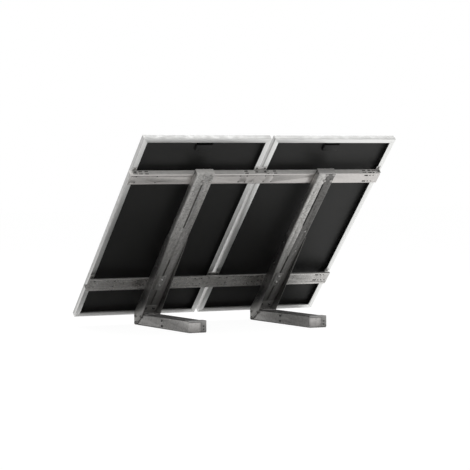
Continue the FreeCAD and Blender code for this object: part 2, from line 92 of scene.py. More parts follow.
SIDES = ("left", "right")
post_range = {
    side: slope_range(
        node_points(side + "_post_channel_plus_x") + node_points(side + "_post_channel_minus_x")
    )
    for side in SIDES
}
post_middle = {side: sum(post_range[side][0]) / 2 for side in SIDES}
print("middle of the posts:", post_middle)

# %% [markdown]
# Shader node groups are the reusable part of a material. A group has sockets of its own, made
# with interface.new_socket, and the helpers below keep the node code short: one adds a node with
# its inputs, one starts a group, and the others make a grey ramp, a mix of two colours, a step of
# arithmetic and a change of range.

# %% Helpers for node trees
def add(tree, kind, inputs=None, **settings):
    """Add a node, set its properties, and set or link its inputs."""
    node = tree.nodes.new(kind)
    for name, value in settings.items():
        setattr(node, name, value)
    for key, value in (inputs or {}).items():
        if isinstance(value, bpy.types.NodeSocket):
            tree.links.new(value, node.inputs[key])
        else:
            node.inputs[key].default_value = value
    return node


def new_group(kind, name, inputs, outputs):
    """An empty node group with named sockets, and its two end nodes."""
    tree = bpy.data.node_groups.new(name, kind)
    for label, socket_kind, value in inputs:
        socket = tree.interface.new_socket(label, in_out="INPUT", socket_type=socket_kind)
        if value is not None:
            socket.default_value = value
    for label, socket_kind in outputs:
        tree.interface.new_socket(label, in_out="OUTPUT", socket_type=socket_kind)
    return tree, tree.nodes.new("NodeGroupInput"), tree.nodes.new("NodeGroupOutput")


def ramp(tree, factor, stops):
    """A grey that follows a factor through (position, grey) stops."""
    node = add(tree, "ShaderNodeValToRGB", {"Fac": factor})
    elements = node.color_ramp.elements
    while len(elements) < len(stops):
        elements.new(0.5)
    for element, (position, value) in zip(elements, stops):
        element.position = position
        element.color = (value, value, value, 1)
    return node.outputs["Color"]


def mix_colors(tree, factor, first, second, mode="MIX"):
    """Mix two colours. The colour sockets of a Mix node are its inputs 6 and 7."""
    inputs = {0: factor, 6: first, 7: second}
    node = add(tree, "ShaderNodeMix", inputs, data_type="RGBA", blend_type=mode)
    return node.outputs[2]


def calculate(tree, operation, first, second=0.0, third=0.0):
    node = add(tree, "ShaderNodeMath", {0: first, 1: second, 2: third}, operation=operation)
    return node.outputs[0]


def map_range(tree, value, source, target):
    """A value moved from one range to another, and kept inside the second."""
    inputs = {
        "Value": value, "From Min": source[0], "From Max": source[1], "To Min": target[0],
        "To Max": target[1],
    }
    return add(tree, "ShaderNodeMapRange", inputs).outputs[0]


print("node helpers: add, new_group, ramp, mix_colors, calculate, map_range")

# %% [markdown]
# A finish has to stay on its surface when the mount is moved or seen from another side. So the
# noises read Object coordinates, which are metres here, and the weather reads the height of the
# normal. A noise seldom leaves the middle of its range, so that middle is stretched when a
# value has to follow it.

# %% Helpers that read the surface
WHOLE = (0.0, 1.0)
NOISE_SPAN = (0.3, 0.7)


def object_place(tree):
    return add(tree, "ShaderNodeTexCoord").outputs["Object"]


def noise(tree, place, scale, detail=2.0):
    node = add(tree, "ShaderNodeTexNoise", {"Vector": place, "Scale": scale, "Detail": detail})
    return node.outputs["Fac"]


def normal_height(tree):
    """How far the surface looks up: -1 is straight down and 1 is straight up."""
    normal = add(tree, "ShaderNodeNewGeometry").outputs["Normal"]
    return add(tree, "ShaderNodeSeparateXYZ", {"Vector": normal}).outputs["Z"]


print("surface helpers: object_place, noise, normal_height; noise spans", NOISE_SPAN)

# %% [markdown]
# The first group draws what hot zinc leaves on steel: crystals called spangle, large pale and
# dark clouds, and faint runs down the sheet. It puts out a colour, a roughness and a height.
# Voronoi cells are the natural choice for the crystals, since both grow outward from seeds.

# %% The spangle group
CRYSTAL_ROUGHNESS = (0.18, 0.28)
RUN_STRETCH = (60.0, 4.0, 4.0)


def make_spangle_group():
    tree, inside, outside = new_group(
        "ShaderNodeTree", "zinc_spangle",
        [
            ("Base", "NodeSocketColor", (0.5, 0.5, 0.5, 1)),
            ("Crystal scale", "NodeSocketFloat", 85.0),
            ("Crystal contrast", "NodeSocketFloat", 0.3),
            ("Cloud contrast", "NodeSocketFloat", 0.3),
            ("Run contrast", "NodeSocketFloat", 0.5),
        ],
        [
            ("Color", "NodeSocketColor"), ("Roughness", "NodeSocketFloat"),
            ("Height", "NodeSocketFloat"),
        ],
    )
    place = object_place(tree)
    crystals = add(
        tree, "ShaderNodeTexVoronoi", {"Vector": place, "Scale": inside.outputs["Crystal scale"]}
    )
    tone = add(tree, "ShaderNodeSeparateColor", {"Color": crystals.outputs["Color"]}).outputs[0]
    crystal_grey = ramp(tree, tone, ((0.0, 0.62), (0.4, 0.86), (0.8, 1.0)))
    clouds = noise(tree, place, scale=7.0, detail=5.0)
    cloud_grey = ramp(tree, clouds, ((0.3, 0.7), (0.55, 0.95), (0.75, 1.0)))
    stretched = add(tree, "ShaderNodeMapping", {"Vector": place, "Scale": RUN_STRETCH}).outputs[0]
    runs = noise(tree, stretched, scale=1.0, detail=3.0)
    run_grey = ramp(tree, runs, ((0.35, 0.86), (0.6, 1.0)))
    color = inside.outputs["Base"]
    for layer, grey in (("Crystal", crystal_grey), ("Cloud", cloud_grey), ("Run", run_grey)):
        color = mix_colors(tree, inside.outputs[layer + " contrast"], color, grey, "MULTIPLY")
    tree.links.new(color, outside.inputs["Color"])
    tree.links.new(map_range(tree, tone, WHOLE, CRYSTAL_ROUGHNESS), outside.inputs["Roughness"])
    tree.links.new(tone, outside.inputs["Height"])
    return tree


spangle_group = make_spangle_group()
print("spangle sockets:", [item.name for item in spangle_group.interface.items_tree])

# %% [markdown]
# Metal that looks up at the sky turns matt, because rain and dust lie on it. The second group is
# a mask for that film. It could be painted on each piece, but a mask made from the normal's
# height fits every piece at once. Noise breaks it up. Two inputs say from which height of the
# normal the film starts and where it is full. Each material gives the film its own grey, and
# that grey is painted light and shade as well: pale on tops that should look lit, and dark on
# sides, folds and foot tops that should look shaded.

# %% The film group
FILM_THINNEST = 0.72     # what is left of the film where the noise breaks it up most
PATCH_SPAN = (0.3, 0.65)


def make_film_group():
    tree, inside, outside = new_group(
        "ShaderNodeTree", "facing_film",
        [
            ("Amount", "NodeSocketFloat", 1.0), ("Patch size", "NodeSocketFloat", 30.0),
            ("Start", "NodeSocketFloat", 0.45), ("Full", "NodeSocketFloat", 0.65),
        ],
        [("Mask", "NodeSocketFloat")],
    )
    value = inside.outputs
    facing = map_range(tree, normal_height(tree), (value["Start"], value["Full"]), WHOLE)
    patches = noise(tree, object_place(tree), value["Patch size"], detail=4.0)
    broken = map_range(tree, patches, PATCH_SPAN, (FILM_THINNEST, 1.0))
    shown = calculate(tree, "MULTIPLY", facing, broken)
    tree.links.new(calculate(tree, "MULTIPLY", shown, value["Amount"]), outside.inputs["Mask"])
    return tree


film_group = make_film_group()
print("film sockets:", [item.name for item in film_group.interface.items_tree])

# %% [markdown]
# Dust settles on every outdoor surface. A third group mixes a pale dust colour into any base
# colour, more where a noise says so and where the surface looks up. The plastics, the aluminium
# and the fasteners all use it, so one change of the dust changes them all.

# %% The dust group
DUST_GAIN = 4.0          # makes up for the two noises, whose product is small
DUST_ON_UNDERSIDE = 0.3  # as a share of the dust on top


def make_dust_group():
    tree, inside, outside = new_group(
        "ShaderNodeTree", "light_dust",
        [
            ("Base", "NodeSocketColor", (0.5, 0.5, 0.5, 1)),
            ("Dust", "NodeSocketColor", (0.55, 0.54, 0.52, 1)),
            ("Amount", "NodeSocketFloat", 0.1),
            ("Grain", "NodeSocketFloat", 300.0),
        ],
        [("Color", "NodeSocketColor")],
    )
    value = inside.outputs
    place = object_place(tree)
    facing = map_range(tree, normal_height(tree), (-0.5, 1.0), (DUST_ON_UNDERSIDE, 1.0))
    drifts = noise(tree, place, scale=5.0, detail=4.0)
    spots = calculate(tree, "MULTIPLY", drifts, noise(tree, place, value["Grain"]))
    shown = calculate(tree, "MULTIPLY", spots, facing)
    scaled = calculate(tree, "MULTIPLY", shown, value["Amount"])
    strength = calculate(tree, "MINIMUM", calculate(tree, "MULTIPLY", scaled, DUST_GAIN), 1.0)
    color = mix_colors(tree, strength, value["Base"], value["Dust"])
    tree.links.new(color, outside.inputs["Color"])
    return tree


dust_group = make_dust_group()
print("dust sockets:", [item.name for item in dust_group.interface.items_tree])

# %% [markdown]
# Most materials end in the same way, with a colour, a roughness and a bump. The helpers below
# start such a material and finish it. The Principled BSDF could sit in a group as well, but it
# stays in the material itself, where it is easy to find. The groups only hand it colours and
# values.

# %% Start and finish a material
GRAIN_HEIGHT = 0.0003    # height of the bump of fine grains


def empty_tree(holder):
    """The cleared node tree of a material or a world."""
    holder.use_nodes = True
    holder.node_tree.nodes.clear()
    return holder.node_tree


def start_material(name):
    """A material with its tree and its Principled BSDF, linked to an output."""
    material = bpy.data.materials.new(name)
    tree = empty_tree(material)
    shader = add(tree, "ShaderNodeBsdfPrincipled")
    add(tree, "ShaderNodeOutputMaterial", {"Surface": shader.outputs[0]})
    return material, tree, shader


def cover(tree, shader, color, roughness, height, strength, distance=GRAIN_HEIGHT):
    """Link a colour, a roughness and the bump of a height to a shader."""
    inputs = {"Height": height, "Strength": strength, "Distance": distance}
    bump = add(tree, "ShaderNodeBump", inputs)
    tree.links.new(color, shader.inputs["Base Color"])
    tree.links.new(roughness, shader.inputs["Roughness"])
    tree.links.new(bump.outputs["Normal"], shader.inputs["Normal"])


print("material helpers: empty_tree, start_material, cover; grain height", GRAIN_HEIGHT)

# %% [markdown]
# The zinc recipe lays three things over each other: the spangled metal, the film where it looks
# up, and soil near the ground. The film's grey is set per material: on some pieces it is painted
# light, on others painted shade. Rain splashes soil on the lowest half metre or so, and the soil
# also paints in the shade that darkens the posts towards their feet, so every post fades to one
# grey near its foot. Film and soil hide the metal, so they also lower its metallic value. The
# tone of the crystals drives a faint bump, and light breaks up over the sheet.

# %% The zinc recipe
CRYSTAL_RELIEF = 0.12
CRYSTAL_HEIGHT = 0.0006
FILM_STEP = 0.2          # from the height of the normal where the film starts to where it is full
FILM_ROUGHNESS = 0.55    # what a full film adds to the roughness
# The soil layer also stands for painted shade near the ground.
SOIL_AND_SHADE_COVER = 0.7         # how much of the metal a full layer of soil hides


def stone_grey(value):
    """A grey with a little warmth, as of limestone dust."""
    return (value * 1.02, value, value * 0.97, 1)


def zinc(
    name, base, crystals=0.9, clouds=0.25, runs=0.5, matt=0.0, film=1.0, film_and_painted_light_grey=0.5, start=0.45,
    film_matt=0.9, splash_and_shade=0.0, splash_and_shade_grey=0.4, splash_and_shade_heights=(0.33, 0.68),
):
    material, tree, shader = start_material(name)
    spangle = add(
        tree, "ShaderNodeGroup",
        {
            "Base": (*base, 1), "Crystal contrast": crystals, "Cloud contrast": clouds,
            "Run contrast": runs,
        },
        node_tree=spangle_group,
    )
    veil = add(
        tree, "ShaderNodeGroup", {"Amount": film, "Start": start, "Full": start + FILM_STEP},
        node_tree=film_group,
    )
    mask = veil.outputs["Mask"]
    # The film's grey: painted light on the pale films, painted shade on the dark ones.
    color = mix_colors(tree, mask, spangle.outputs["Color"], stone_grey(film_and_painted_light_grey))
    height = add(tree, "ShaderNodeSeparateXYZ", {"Vector": object_place(tree)}).outputs["Z"]
    # Soil near the ground, which also paints the shade at the posts' feet.
    soil_and_shade = map_range(tree, height, splash_and_shade_heights, (splash_and_shade, 0.0))
    color = mix_colors(tree, soil_and_shade, color, stone_grey(splash_and_shade_grey))
    rough = calculate(tree, "ADD", spangle.outputs["Roughness"], matt)
    rough = calculate(tree, "MULTIPLY_ADD", mask, FILM_ROUGHNESS * film_matt, rough)
    clear_of_film = calculate(tree, "MULTIPLY_ADD", mask, -film_matt, 1.0)
    clear_of_soil_and_shade = calculate(tree, "MULTIPLY_ADD", soil_and_shade, -SOIL_AND_SHADE_COVER, 1.0)
    metal = calculate(tree, "MULTIPLY", clear_of_film, clear_of_soil_and_shade)
    tree.links.new(metal, shader.inputs["Metallic"])
    cover(tree, shader, color, rough, spangle.outputs["Height"], CRYSTAL_RELIEF, CRYSTAL_HEIGHT)
    print("made", material.name)
    return material


print("zinc recipe with", len(spangle_group.nodes) + len(film_group.nodes), "nodes in its groups")

# %% [markdown]
# The zinc materials differ in tone and in how plain their crystals are, and most of those
# differences are painted light and shade. The upper rail and the head caps take a pale film on
# their tops, painted light, and the lower rail a dark one, painted shade. The minus-x channels
# and the lower plates of the posts are darker zinc, a painted shade on the right-hand strip of
# each post, deepest on the right post, where it also covers the right half of the head cap. On
# the rails and the clamps, the film starts on surfaces that look a little down, so that it
# also covers their folds.

# %% Zinc for rails, clamps and posts
FOLD_FILM_START = -0.35
# Painted light: a pale film on the upper rail's tops, as if lit.
zinc_upper_rail = zinc(
    "zinc_upper_rail", (0.68, 0.655, 0.64), crystals=0.15, clouds=0.1, runs=0.2, matt=0.1,
    film_and_painted_light_grey=0.85, start=FOLD_FILM_START,
)
# Painted shade: a dark film on the lower rail's upper faces and folds.
zinc_lower_rail = zinc(
    "zinc_lower_rail", (0.70, 0.685, 0.67), crystals=0.6, matt=0.08, film_and_painted_light_grey=0.24,
    start=FOLD_FILM_START,
)
zinc_clamp = zinc(
    "zinc_clamp", (0.66, 0.65, 0.635), crystals=0.5, matt=0.1, film_and_painted_light_grey=0.4, start=FOLD_FILM_START
)
# Painted shade: a dark grey on the posts' sides and bends, and a fade to grey at their feet.
zinc_bright = zinc(
    "zinc_bright", (0.74, 0.73, 0.715), runs=1.0, matt=0.22, film=0.7, film_and_painted_light_grey=0.2, film_matt=0.0,
    start=-0.64, splash_and_shade=0.9, splash_and_shade_grey=0.24, splash_and_shade_heights=(0.38, 0.72),
)
# Painted shade, slight: darker zinc for the left post's minus-x channel and lower plate.
zinc_slight_shade = zinc("zinc_slight_shade", (0.60, 0.59, 0.58), runs=1.0, matt=0.22, splash_and_shade=0.8, splash_and_shade_grey=0.33)
# Painted shade: dark zinc for the right post's minus-x channel, lower plate and half its head cap.
zinc_dull = zinc(
    "zinc_dull", (0.25, 0.245, 0.24), runs=1.0, matt=0.22, film_and_painted_light_grey=0.12, splash_and_shade=0.8,
    splash_and_shade_grey=0.32,
)
# Painted light: a near-white film on the top of the head cap.
zinc_head = zinc("zinc_head", (0.70, 0.69, 0.675), matt=0.22, film=0.8, film_and_painted_light_grey=0.95)
# The right head cap's other half, with a paler film on its top as painted light.
zinc_right_head = zinc(
    "zinc_right_head", (0.72, 0.71, 0.70), crystals=0.7, matt=0.22, film=0.7, film_and_painted_light_grey=0.5
)

# %% [markdown]
# The pieces near the ground are rougher. The gussets are dark zinc that turns lighter near the
# ground, and the tops of the feet carry a near-black film: both are painted shade, where the
# modules and the posts shade the base.

# %% Zinc for gussets, cleats and feet
zinc_cleat = zinc(
    "zinc_cleat", (0.52, 0.51, 0.50), matt=0.2, film_and_painted_light_grey=0.15, splash_and_shade=0.8, splash_and_shade_grey=0.35
)
# Painted shade: dark gussets, lighter near the ground.
zinc_gusset = zinc(
    "zinc_gusset", (0.27, 0.265, 0.26), matt=0.2, film_and_painted_light_grey=0.1, splash_and_shade=0.9, splash_and_shade_grey=0.42,
    splash_and_shade_heights=(0.10, 0.17),
)
# Painted shade: a near-black film on the tops of the feet.
zinc_foot = zinc(
    "zinc_foot", (0.52, 0.51, 0.50), crystals=0.8, matt=0.25, film=0.97, film_and_painted_light_grey=0.08
)
zinc_strap = zinc(
    "zinc_strap", (0.38, 0.375, 0.37), crystals=0.5, matt=0.25, film=0.3, film_and_painted_light_grey=0.3
)
zinc_plate = zinc("zinc_plate", (0.54, 0.525, 0.515), crystals=0.5, matt=0.25, film=0.3)

# %% [markdown]
# Coated, moulded and laminated surfaces and small steel parts share one recipe: a dusty colour,
# an uneven gloss and a fine grain. The ribbons and the backing of the cells lie behind glass, so
# they get no dust, and their gloss is low because the clear layer round them swallows it.

# %% Plastics, fasteners and coats
FINE_GRAIN = 400.0


def dusty(tree, base, amount):
    """A base colour with an amount of dust on it."""
    inputs = {"Base": base, "Amount": amount}
    return add(tree, "ShaderNodeGroup", inputs, node_tree=dust_group).outputs["Color"]


def grainy_finish(name, base, roughness, dust, metallic=0.0, relief=0.1, gloss=0.5):
    material, tree, shader = start_material(name)
    grains = noise(tree, object_place(tree), FINE_GRAIN, detail=3.0)
    rough = map_range(tree, grains, NOISE_SPAN, roughness)
    cover(tree, shader, dusty(tree, (*base, 1), dust), rough, grains, relief)
    shader.inputs["Metallic"].default_value = metallic
    shader.inputs["Specular IOR Level"].default_value = gloss
    print("made", material.name)
    return material


backsheet_black = grainy_finish(
    "backsheet_black", (0.007, 0.007, 0.0068), (0.42, 0.56), dust=0.008, relief=0.05, gloss=0.4
)
fastener_dark = grainy_finish(
    "fastener_dark", (0.14, 0.14, 0.135), (0.35, 0.5), dust=0.02, metallic=1.0
)
fastener_zinc = grainy_finish(
    "fastener_zinc", (0.50, 0.49, 0.48), (0.3, 0.42), dust=0.03, metallic=1.0
)
fastener_bright = grainy_finish(
    "fastener_bright", (0.85, 0.85, 0.84), (0.22, 0.34), dust=0.02, metallic=1.0
)
cell_backing = grainy_finish(
    "cell_backing", (0.002, 0.002, 0.0025), (0.4, 0.5), dust=0.0, gloss=0.1
)
ribbon_tin = grainy_finish("ribbon_tin", (0.17, 0.175, 0.19), (0.5, 0.6), dust=0.0, gloss=0.2)

# %% [markdown]
# Frame members are extruded aluminium, blasted and clear anodised. Their colour follows the way a
# face looks: the back flanges are painted bright, a painted reflection of the pale floor, and the
# walls and the top are painted a darker grey, as painted shade. The top also turns matt. Three
# materials would need the members cut up. One material with two masks by facing doesn't.

# %% Anodised aluminium
# Painted light and shade by facing: a bright back, and darker walls and top, where the masks below
# lie.
LIT_BACK, SHADED_WALL, SHADED_TOP = (0.92, 0.92, 0.915, 1), (0.52, 0.52, 0.515, 1), (0.57, 0.57, 0.56, 1)
WALL_SHADE = (-0.35, -0.05)    # heights of the normal where a film starts and where it is full
TOP_SHADE_AND_MATT = (0.0, 0.3)
BLASTED_GRAIN = 900.0
ANODISED_ROUGHNESS = (0.28, 0.40)
TOP_MATT = 0.2


def facing_mask(tree, start, full):
    inputs = {"Start": start, "Full": full}
    return add(tree, "ShaderNodeGroup", inputs, node_tree=film_group).outputs["Mask"]


def anodised():
    material, tree, shader = start_material("anodised_frame")
    # Masks for the painted shade on the walls, and for the painted shade and the matt finish on the
    # top.
    on_walls = facing_mask(tree, *WALL_SHADE)
    on_top = facing_mask(tree, *TOP_SHADE_AND_MATT)
    color = mix_colors(tree, on_top, mix_colors(tree, on_walls, LIT_BACK, SHADED_WALL), SHADED_TOP)
    grains = noise(tree, object_place(tree), BLASTED_GRAIN, detail=3.0)
    rough = map_range(tree, grains, NOISE_SPAN, ANODISED_ROUGHNESS)
    rough = calculate(tree, "MULTIPLY_ADD", on_top, TOP_MATT, rough)
    tree.links.new(calculate(tree, "SUBTRACT", 1.0, on_top), shader.inputs["Metallic"])
    cover(tree, shader, dusty(tree, color, 0.05), rough, grains, strength=0.06)
    return material


anodised_frame = anodised()
print(anodised_frame.name, "nodes:", len(anodised_frame.node_tree.nodes))

# %% [markdown]
# A junction box is moulded in black plastic, and a painted shadow in deeper black runs along its
# top edge. The strip is part of the material, so no extra piece is needed. It starts at a distance
# up the slope that is measured on the box, and in the nodes that distance is a dot product of the
# place with the slope's direction.

# %% The junction box
# The painted shadow along the top of a junction box: its width, its soft edge and its black.
SHADOW_BAND = 0.021        # width of the sealed strip along the top of a junction box
SHADOW_BLUR = 0.0007       # half the width of its soft edge
DARK_PLASTIC, LIGHT_PLASTIC = (0.004, 0.004, 0.004, 1), (0.007, 0.007, 0.007, 1)
SHADOW_BLACK = (0.001, 0.001, 0.001, 1)


def distance_up_slope(tree, place):
    node = add(tree, "ShaderNodeVectorMath", {0: place, 1: UP_SLOPE}, operation="DOT_PRODUCT")
    return node.outputs["Value"]


def junction_black():
    material, tree, shader = start_material("junction_plastic")
    place = object_place(tree)
    grains = noise(tree, place, FINE_GRAIN, detail=3.0)
    box_top = slope_range(node_points("left_junction_box"))[1][1]
    edge = slope_origin.dot(UP_SLOPE) + box_top - SHADOW_BAND
    along = distance_up_slope(tree, place)
    shadow_strip = map_range(tree, along, (edge - SHADOW_BLUR, edge + SHADOW_BLUR), WHOLE)
    plastic = mix_colors(tree, grains, DARK_PLASTIC, LIGHT_PLASTIC)
    # Painted shadow: the top strip of the box turns deeper black.
    color = mix_colors(tree, shadow_strip, plastic, SHADOW_BLACK)
    rough = map_range(tree, grains, NOISE_SPAN, (0.45, 0.6))
    tree.links.new(shadow_strip, shader.inputs["Metallic"])
    cover(tree, shader, color, rough, grains, strength=0.1)
    shader.inputs["Specular IOR Level"].default_value = 0.4
    return material


junction_plastic = junction_black()
print(junction_plastic.name, "nodes:", len(junction_plastic.node_tree.nodes))

# %% [markdown]
# A solar cell is dark blue silicon with fine silver lines across it. No two cells come out of
# the oven the same blue. Random Per Island gives each cell of one mesh its own number, so one
# material makes each a little lighter or darker. A sine of the distance up the slope draws the
# lines, which would be far too many to model.

# %% The cells
FINGER_PITCH = 0.0016    # between the silver lines
FINGER_CREST = (0.8, 1.0)     # the part of the sine that shows as a line
FINGER_SHOW = 0.05       # how much of the silver's colour a line as thin as that has from afar
DARK_SILICON, LIGHT_SILICON = (0.010, 0.016, 0.050, 1), (0.024, 0.034, 0.090, 1)
CLOUDED_SILICON = (0.016, 0.022, 0.050, 1)
CLOUD_SHARE = 0.5
SILVER = (0.12, 0.13, 0.15, 1)
CELL_ROUGHNESS = (0.3, 0.4)


def solar_cell():
    material, tree, shader = start_material("solar_cell")
    place = object_place(tree)
    turns = calculate(tree, "MULTIPLY", distance_up_slope(tree, place), math.tau / FINGER_PITCH)
    wave = calculate(tree, "SINE", turns)
    fingers = map_range(tree, wave, FINGER_CREST, (0.0, FINGER_SHOW))
    shade = add(tree, "ShaderNodeNewGeometry").outputs["Random Per Island"]
    silicon = mix_colors(tree, shade, DARK_SILICON, LIGHT_SILICON)
    clouds = noise(tree, place, scale=9.0, detail=3.0)
    clouds = calculate(tree, "MULTIPLY", clouds, CLOUD_SHARE)
    cloudy = mix_colors(tree, clouds, silicon, CLOUDED_SILICON)
    color = mix_colors(tree, fingers, cloudy, SILVER)
    tree.links.new(color, shader.inputs["Base Color"])
    tree.links.new(map_range(tree, shade, WHOLE, CELL_ROUGHNESS), shader.inputs["Roughness"])
    shader.inputs["Specular IOR Level"].default_value = 0.02
    return material


cell_silicon = solar_cell()
print(cell_silicon.name, "lines per metre:", round(1 / FINGER_PITCH))

# %% [markdown]
# Module glass is low in iron, so it is nearly clear, with a hint of green. Its front has an
# anti-reflective coat. Of the ways to show that, a low index of refraction is the simplest,
# because it dims the reflections at once. A slow noise gives the glass the smears of old rain.

# %% The glass
COATED_INDEX = 1.18
SMEARED, CLEAR = (0.93, 0.97, 0.96, 1), (0.97, 0.98, 0.98, 1)
GLASS_ROUGHNESS = (0.0, 0.03)


def solar_glass():
    material, tree, shader = start_material("solar_glass")
    smears = noise(tree, object_place(tree), scale=3.0, detail=6.0)
    tree.links.new(mix_colors(tree, smears, SMEARED, CLEAR), shader.inputs["Base Color"])
    rough = map_range(tree, smears, NOISE_SPAN, GLASS_ROUGHNESS)
    tree.links.new(rough, shader.inputs["Roughness"])
    shader.inputs["Transmission Weight"].default_value = 1.0
    shader.inputs["IOR"].default_value = COATED_INDEX
    return material


glass = solar_glass()
print(glass.name, "index of refraction:", COATED_INDEX)

# %% [markdown]
# Each node gets its finish by its name. The table is read from the top, and the first entry
# whose word is in the name holds, so the narrow cases come before the wide ones.

# %% Finishes by node name
# The darker zincs on the minus-x channels, the lower plates and half the right head cap are painted
# shade.
FINISHES = (
    ("glass", glass), ("backsheet", backsheet_black), ("junction", junction_plastic),
    ("cell_sheet", cell_backing), ("frame", anodised_frame), ("corner_keys", anodised_frame),
    ("lower_bolts", fastener_bright), ("head_bolts", fastener_zinc), ("head_nuts", fastener_zinc),
    ("tie_bolts", fastener_zinc), ("bolts", fastener_dark), ("nuts", fastener_dark),
    ("upper_rail", zinc_upper_rail), ("module_clamps", zinc_clamp), ("lower_rail", zinc_lower_rail),
    ("gusset", zinc_gusset), ("base_cleat", zinc_cleat), ("right_post_lower_plate", zinc_dull),
    ("left_post_lower_plate", zinc_slight_shade), ("right_post_head_cap", zinc_right_head),
    ("head_cap", zinc_head),
    ("foot_strap", zinc_strap), ("foot_end_plate", zinc_plate), ("foot", zinc_foot),
    ("right_post_channel_minus_x", zinc_dull), ("left_post_channel_minus_x", zinc_slight_shade),
    ("", zinc_bright),
)


def finish_for(name):
    return next(material for word, material in FINISHES if word in name)


print("finishes in use:", len({finish_for(name).name for name in nodes}))

# %% [markdown]
# Pieces are made in two ways below, by bmesh and by Geometry Nodes, and both leave modifiers on
# an object. The modifiers' result is swapped in, so that each piece ends as a plain mesh. Shading
# by angle keeps flat sheet flat and rounds off only what bends.

# %% Helpers for pieces
SMOOTH_ANGLE = math.radians(35)


def new_object(name, data):
    """An object for a mesh, lamp or camera, in the scene."""
    made = bpy.data.objects.new(name, data)
    scene.collection.objects.link(made)
    return made


def apply_modifiers(piece):
    """Swap a piece's mesh for the one its modifiers make, and drop the modifiers."""
    graph = bpy.context.evaluated_depsgraph_get()
    made = bpy.data.meshes.new_from_object(piece.evaluated_get(graph))
    piece.modifiers.clear()
    piece.data = made


def smooth(piece):
    piece.data.shade_smooth()
    with bpy.context.temp_override(object=piece, active_object=piece, selected_objects=[piece]):
        bpy.ops.object.shade_smooth_by_angle(angle=SMOOTH_ANGLE)


print("piece helpers: new_object, apply_modifiers, smooth")
print("smooth up to", round(math.degrees(SMOOTH_ANGLE)), "degrees")

# %% [markdown]
# Sheet metal never has knife edges. A CAD node is a bag of loose triangles, so a copy is merged
# first, its flat triangles are dissolved, and a small Bevel modifier then rounds the edges. A
# bevel in the shader would be quicker, but it doesn't show in the outline. The copy stands for
# its CAD node, which is hidden but keeps its place in the physics. Before that, a copy can be cut
# in two along X, so that one half takes a second finish, such as a painted shade.

# %% A bevelled copy of a CAD node
FLAT_ANGLE = math.radians(1)
BEVEL_ANGLE = math.radians(50)
BEVEL_SEGMENTS = 2
MERGE_DISTANCE = 1e-6


def merged_shell(mesh):
    """A bmesh of a CAD mesh, in which neighbouring triangles share their vertices."""
    shell = bmesh.new()
    shell.from_mesh(mesh)
    bmesh.ops.remove_doubles(shell, verts=shell.verts, dist=MERGE_DISTANCE)
    return shell


def bevelled_copy(name, width, cut_at=None, other_finish=None):
    """A copy of a CAD node with rounded edges and a finish, which replaces the node."""
    mesh = nodes[name].data.copy()
    mesh.name = name + "_shell"
    shell = merged_shell(mesh)
    bmesh.ops.dissolve_limit(shell, angle_limit=FLAT_ANGLE, verts=shell.verts, edges=shell.edges)
    if cut_at is not None:
        everything = shell.verts[:] + shell.edges[:] + shell.faces[:]
        bmesh.ops.bisect_plane(shell, geom=everything, plane_co=(cut_at, 0, 0), plane_no=SIDEWAYS)
    for face in shell.faces:
        face.material_index = int(cut_at is not None and face.calc_center_median().x < cut_at)
    shell.to_mesh(mesh)
    shell.free()
    mesh.materials.clear()
    mesh.materials.append(finish_for(name))
    if other_finish is not None:
        mesh.materials.append(other_finish)
    piece = new_object(name + "_shell", mesh)
    bevel = piece.modifiers.new("edges", "BEVEL")
    bevel.width = width
    bevel.segments = BEVEL_SEGMENTS
    bevel.limit_method = "ANGLE"
    bevel.angle_limit = BEVEL_ANGLE
    bevel.use_clamp_overlap = True
    apply_modifiers(piece)
    smooth(piece)
    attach(piece, "root")
    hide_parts(name)
    return piece


print("bevels on edges sharper than", round(math.degrees(BEVEL_ANGLE)), "degrees")

# %% [markdown]
# Folded zinc sheet has the widest edges after the moulded boxes, and turned fasteners the
# sharpest. Glass, backsheet, cell sheet and corner keys stay as the CAD has them, since their
# edges lie inside the frames.

# %% Bevelled copies of the CAD nodes
EDGE_WIDTHS = {"zinc": 0.0006, "anodised": 0.0005, "junction": 0.0012, "fastener": 0.0004}
KEPT = ("cell_sheet", "glass", "backsheet", "corner_keys")
shells = []
for name in sorted(nodes):
    if any(word in name for word in KEPT):
        nodes[name].data.materials.clear()
        nodes[name].data.materials.append(finish_for(name))
        continue
    finish = finish_for(name).name
    width = next(value for key, value in EDGE_WIDTHS.items() if finish.startswith(key))
    # The right head cap is cut at the post's middle, and its right half takes the darker zinc as
    # painted shade.
    if name == "right_post_head_cap":
        shells.append(bevelled_copy(name, width, post_middle["right"], zinc_dull))
    else:
        shells.append(bevelled_copy(name, width))
print("bevelled pieces:", len(shells), "faces:", sum(len(s.data.polygons) for s in shells))

# %% [markdown]
# Repeats are Geometry Nodes work: one form, put on many points. Named inputs on the tree can be
# changed later without touching its nodes. The copies are realized at the end, since instances
# don't survive outside the modifier, and they get their material last.

# %% Helpers for repeats
def reach(tree, count, pitch):
    """The distance from the first to the last of a count of things."""
    return calculate(tree, "MULTIPLY", calculate(tree, "SUBTRACT", count, 1.0), pitch)


def lifted(tree, form, height):
    """A form moved up by a height."""
    up = add(tree, "ShaderNodeCombineXYZ", {2: height})
    return add(tree, "GeometryNodeTransform", {0: form, "Translation": up.outputs[0]}).outputs[0]


def copies(tree, points, form, material, **placing):
    """One mesh of a form on every point, with its material."""
    inputs = {"Points": points, "Instance": form, **placing}
    spread = add(tree, "GeometryNodeInstanceOnPoints", inputs).outputs[0]
    mesh = add(tree, "GeometryNodeRealizeInstances", {0: spread}).outputs[0]
    return add(tree, "GeometryNodeSetMaterial", {0: mesh, "Material": material}).outputs[0]


def joined(tree, *forms):
    join = add(tree, "GeometryNodeJoinGeometry")
    for form in forms:
        tree.links.new(form, join.inputs[0])
    return join.outputs[0]


